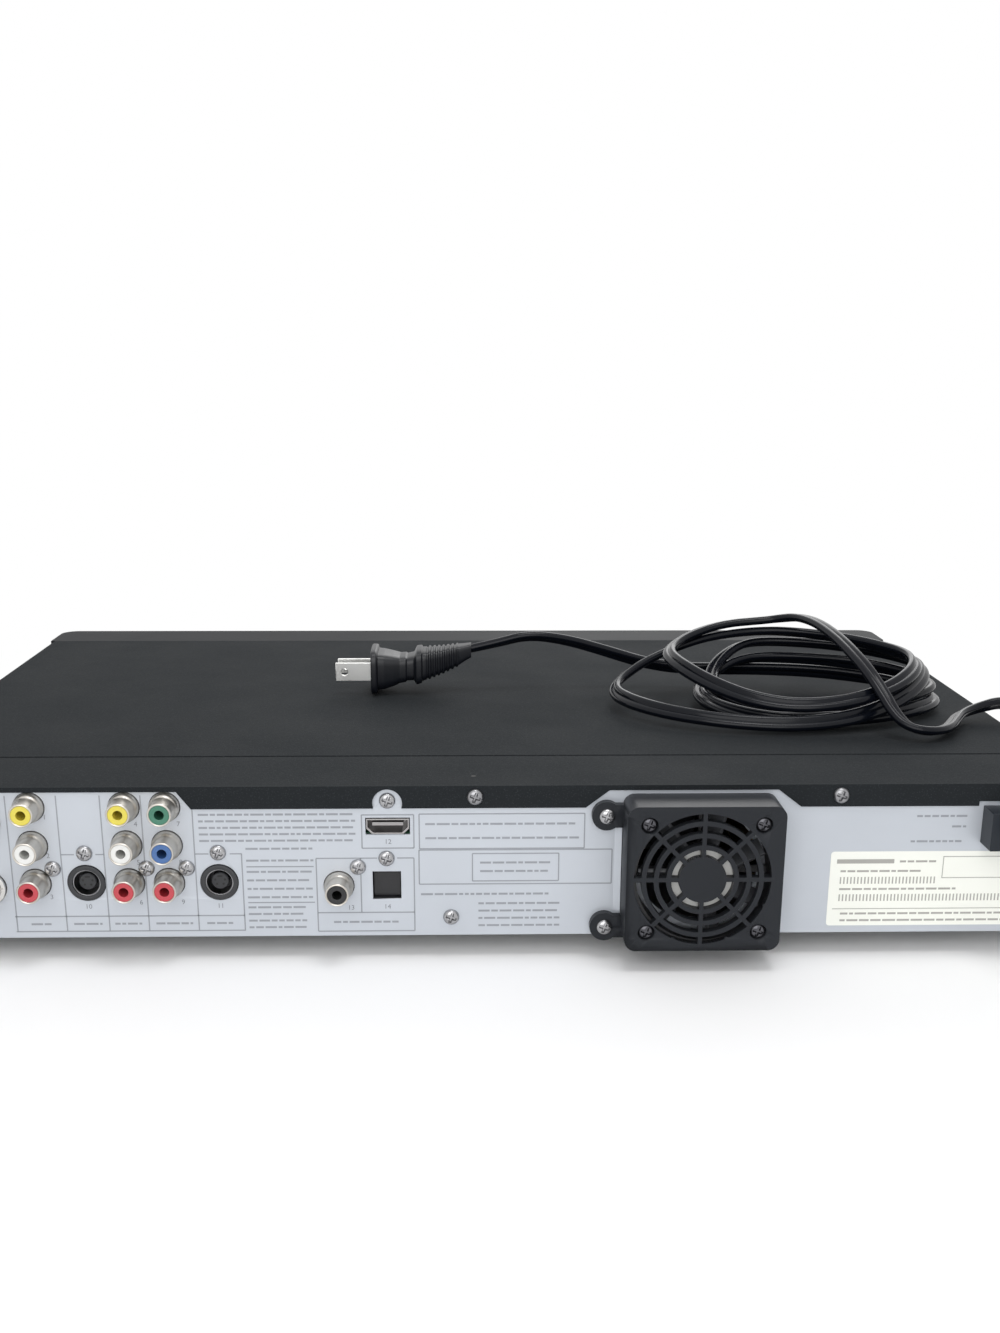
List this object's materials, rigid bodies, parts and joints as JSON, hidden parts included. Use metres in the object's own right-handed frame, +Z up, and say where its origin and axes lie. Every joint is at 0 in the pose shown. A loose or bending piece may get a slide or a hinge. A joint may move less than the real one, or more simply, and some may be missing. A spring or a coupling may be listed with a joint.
{
  "type": "dvd recorder",
  "caption": "DVD recorder with a motor tray, a rear jack panel with a fan, and its mains cord hanked on top.",
  "frame": {"origin": "centre of the footprint on the plane the feet stand on", "axes": "+X to the right of someone who faces the tray, -Y out of the front towards them, +Z up; the jacks and the fan face +Y"},
  "size_m": [0.4561, 0.3324, 0.1008],
  "materials": {
    "cover_black": "satin",
    "panel_silver": "satin",
    "chassis_steel": "satin",
    "drive_steel": "satin",
    "drive_plastic": "matt",
    "foot_rubber": "matt",
    "cover_screw": "satin",
    "jack_screw": "bright",
    "socket_black": "matt",
    "jack_nickel": "satin",
    "antenna_nickel": "bright",
    "jack_yellow": "gloss",
    "jack_white": "gloss",
    "jack_red": "gloss",
    "jack_green": "gloss",
    "jack_blue": "gloss",
    "socket_metal": "satin",
    "fan_plastic": "satin",
    "fan_black": "matt",
    "inlet_black": "matt",
    "cord_vinyl": "gloss",
    "plug_vinyl": "satin",
    "blade_nickel": "bright",
    "bezel_black": "satin",
    "window_dark": "gloss",
    "display_grey": "satin",
    "button_silver": "satin",
    "front_jack_black": "matt",
    "board_green": "satin",
    "board_brown": "satin",
    "chip_black": "matt",
    "sink_aluminium": "satin",
    "core_grey": "matt",
    "capacitor_blue": "gloss",
    "tray_black": "satin",
    "gear_white": "satin",
    "motor_steel": "satin",
    "turntable_black": "satin",
    "sled_metal": "satin",
    "rod_steel": "bright"
  },
  "bodies": {
    "recorder": {"antenna_connectors": "antenna_nickel", "board_chips": "chip_black", "capacitors": "capacitor_blue", "chassis_base": "chassis_steel", "clamp_bridge": "drive_steel", "coaxial_insert": "socket_black", "connector_screws": "jack_screw", "cord_bushing": "inlet_black", "cord_hank": "cord_vinyl", "cord_lead": "cord_vinyl", "cord_tail": "cord_vinyl", "cover_screws": "cover_screw", "digital_audio_block": "socket_black", "digital_board": "board_green", "display_module": "display_grey", "display_window": "window_dark", "drive_frame": "drive_plastic", "drive_motors": "motor_steel", "fan_frame": "fan_black", "fan_housing": "fan_plastic", "fan_screws": "jack_screw", "feet": "foot_rubber", "front_bezel": "bezel_black", "front_board": "board_green", "front_sockets": "front_jack_black", "guide_rods": "rod_steel", "hdmi_socket": "socket_metal", "heat_sink": "sink_aluminium", "main_board": "board_green", "plug_blades": "blade_nickel", "power_board": "board_brown", "power_plug": "plug_vinyl", "rca_blocks": "socket_black", "rca_blue": "jack_blue", "rca_green": "jack_green", "rca_red": "jack_red", "rca_shells": "jack_nickel", "rca_white": "jack_white", "rca_yellow": "jack_yellow", "rear_panel": "panel_silver", "svideo_shields": "socket_metal", "svideo_sockets": "socket_black", "top_cover": "cover_black", "transformer": "core_grey", "tuner_can": "socket_metal"},
    "tray": {"disc_tray": "tray_black", "tray_fascia": "bezel_black"},
    "loading_gear": {"loading_gear": "gear_white"},
    "turntable": {"turntable": "turntable_black"},
    "clamper": {"clamper": "gear_white"},
    "sled": {"pickup_sled": "sled_metal"},
    "lead_screw": {"lead_screw": "rod_steel"},
    "fan_rotor": {"fan_rotor": "fan_black"},
    "flap": {"front_flap": "bezel_black"},
    "shutter": {"optical_shutter": "socket_black"},
    "power_button": {"power_button": "button_silver"},
    "stop_button": {"stop_button": "button_silver"},
    "play_button": {"play_button": "button_silver"},
    "record_button": {"record_button": "button_silver"},
    "eject_button": {"eject_button": "button_silver"}
  },
  "joints": [
    {"name": "tray_slide", "type": "slide", "parent": "recorder", "child": "tray", "axis": [0, -1, 0], "range_m": [0, 0.15]},
    {"name": "loading_gear_spin", "type": "hinge", "parent": "recorder", "child": "loading_gear", "pos_m": [0.022, -0.10525, 0.0274], "axis": [0, 0, 1], "range_deg": [-860, 0]},
    {"name": "turntable_spin", "type": "hinge", "parent": "recorder", "child": "turntable", "pos_m": [-0.02, -0.06175, 0.03], "axis": [0, 0, 1], "continuous": true},
    {"name": "clamper_spin", "type": "hinge", "parent": "recorder", "child": "clamper", "pos_m": [-0.02, -0.06175, 0.038], "axis": [0, 0, 1], "continuous": true},
    {"name": "sled_slide", "type": "slide", "parent": "recorder", "child": "sled", "axis": [0, 1, 0], "range_m": [0, 0.036]},
    {"name": "lead_screw_spin", "type": "hinge", "parent": "recorder", "child": "lead_screw", "pos_m": [-0.052, -0.02, 0.0195], "axis": [0, 1, 0], "range_deg": [0, 4325]},
    {"name": "fan_spin", "type": "hinge", "parent": "recorder", "child": "fan_rotor", "pos_m": [-0.07875, 0.146, 0.03435], "axis": [0, 1, 0], "continuous": true},
    {"name": "flap_hinge", "type": "hinge", "parent": "recorder", "child": "flap", "pos_m": [0.122, -0.15125, 0.0206], "axis": [1, 0, 0], "range_deg": [0, 90]},
    {"name": "shutter_hinge", "type": "hinge", "parent": "recorder", "child": "shutter", "pos_m": [0.03135, 0.13465, 0.03135], "axis": [-1, 0, 0], "range_deg": [0, 80], "stiffness_Nm_per_rad": 0.0002, "springref_deg": -17.19},
    {"name": "power_press", "type": "slide", "parent": "recorder", "child": "power_button", "axis": [0, 1, 0], "range_m": [0, 0.0008], "stiffness_N_per_m": 300, "springref_m": -0.001},
    {"name": "stop_press", "type": "slide", "parent": "recorder", "child": "stop_button", "axis": [0, 1, 0], "range_m": [0, 0.0008], "stiffness_N_per_m": 300, "springref_m": -0.001},
    {"name": "play_press", "type": "slide", "parent": "recorder", "child": "play_button", "axis": [0, 1, 0], "range_m": [0, 0.0008], "stiffness_N_per_m": 300, "springref_m": -0.001},
    {"name": "record_press", "type": "slide", "parent": "recorder", "child": "record_button", "axis": [0, 1, 0], "range_m": [0, 0.0008], "stiffness_N_per_m": 300, "springref_m": -0.001},
    {"name": "eject_press", "type": "slide", "parent": "recorder", "child": "eject_button", "axis": [0, 1, 0], "range_m": [0, 0.0008], "stiffness_N_per_m": 300, "springref_m": -0.001}
  ],
  "couplings": [
    {"joint": "loading_gear_spin", "follows": "tray_slide", "rad_per_m": -100},
    {"joint": "clamper_spin", "follows": "turntable_spin", "ratio": 1},
    {"joint": "lead_screw_spin", "follows": "sled_slide", "rad_per_m": 2094.4}
  ]
}
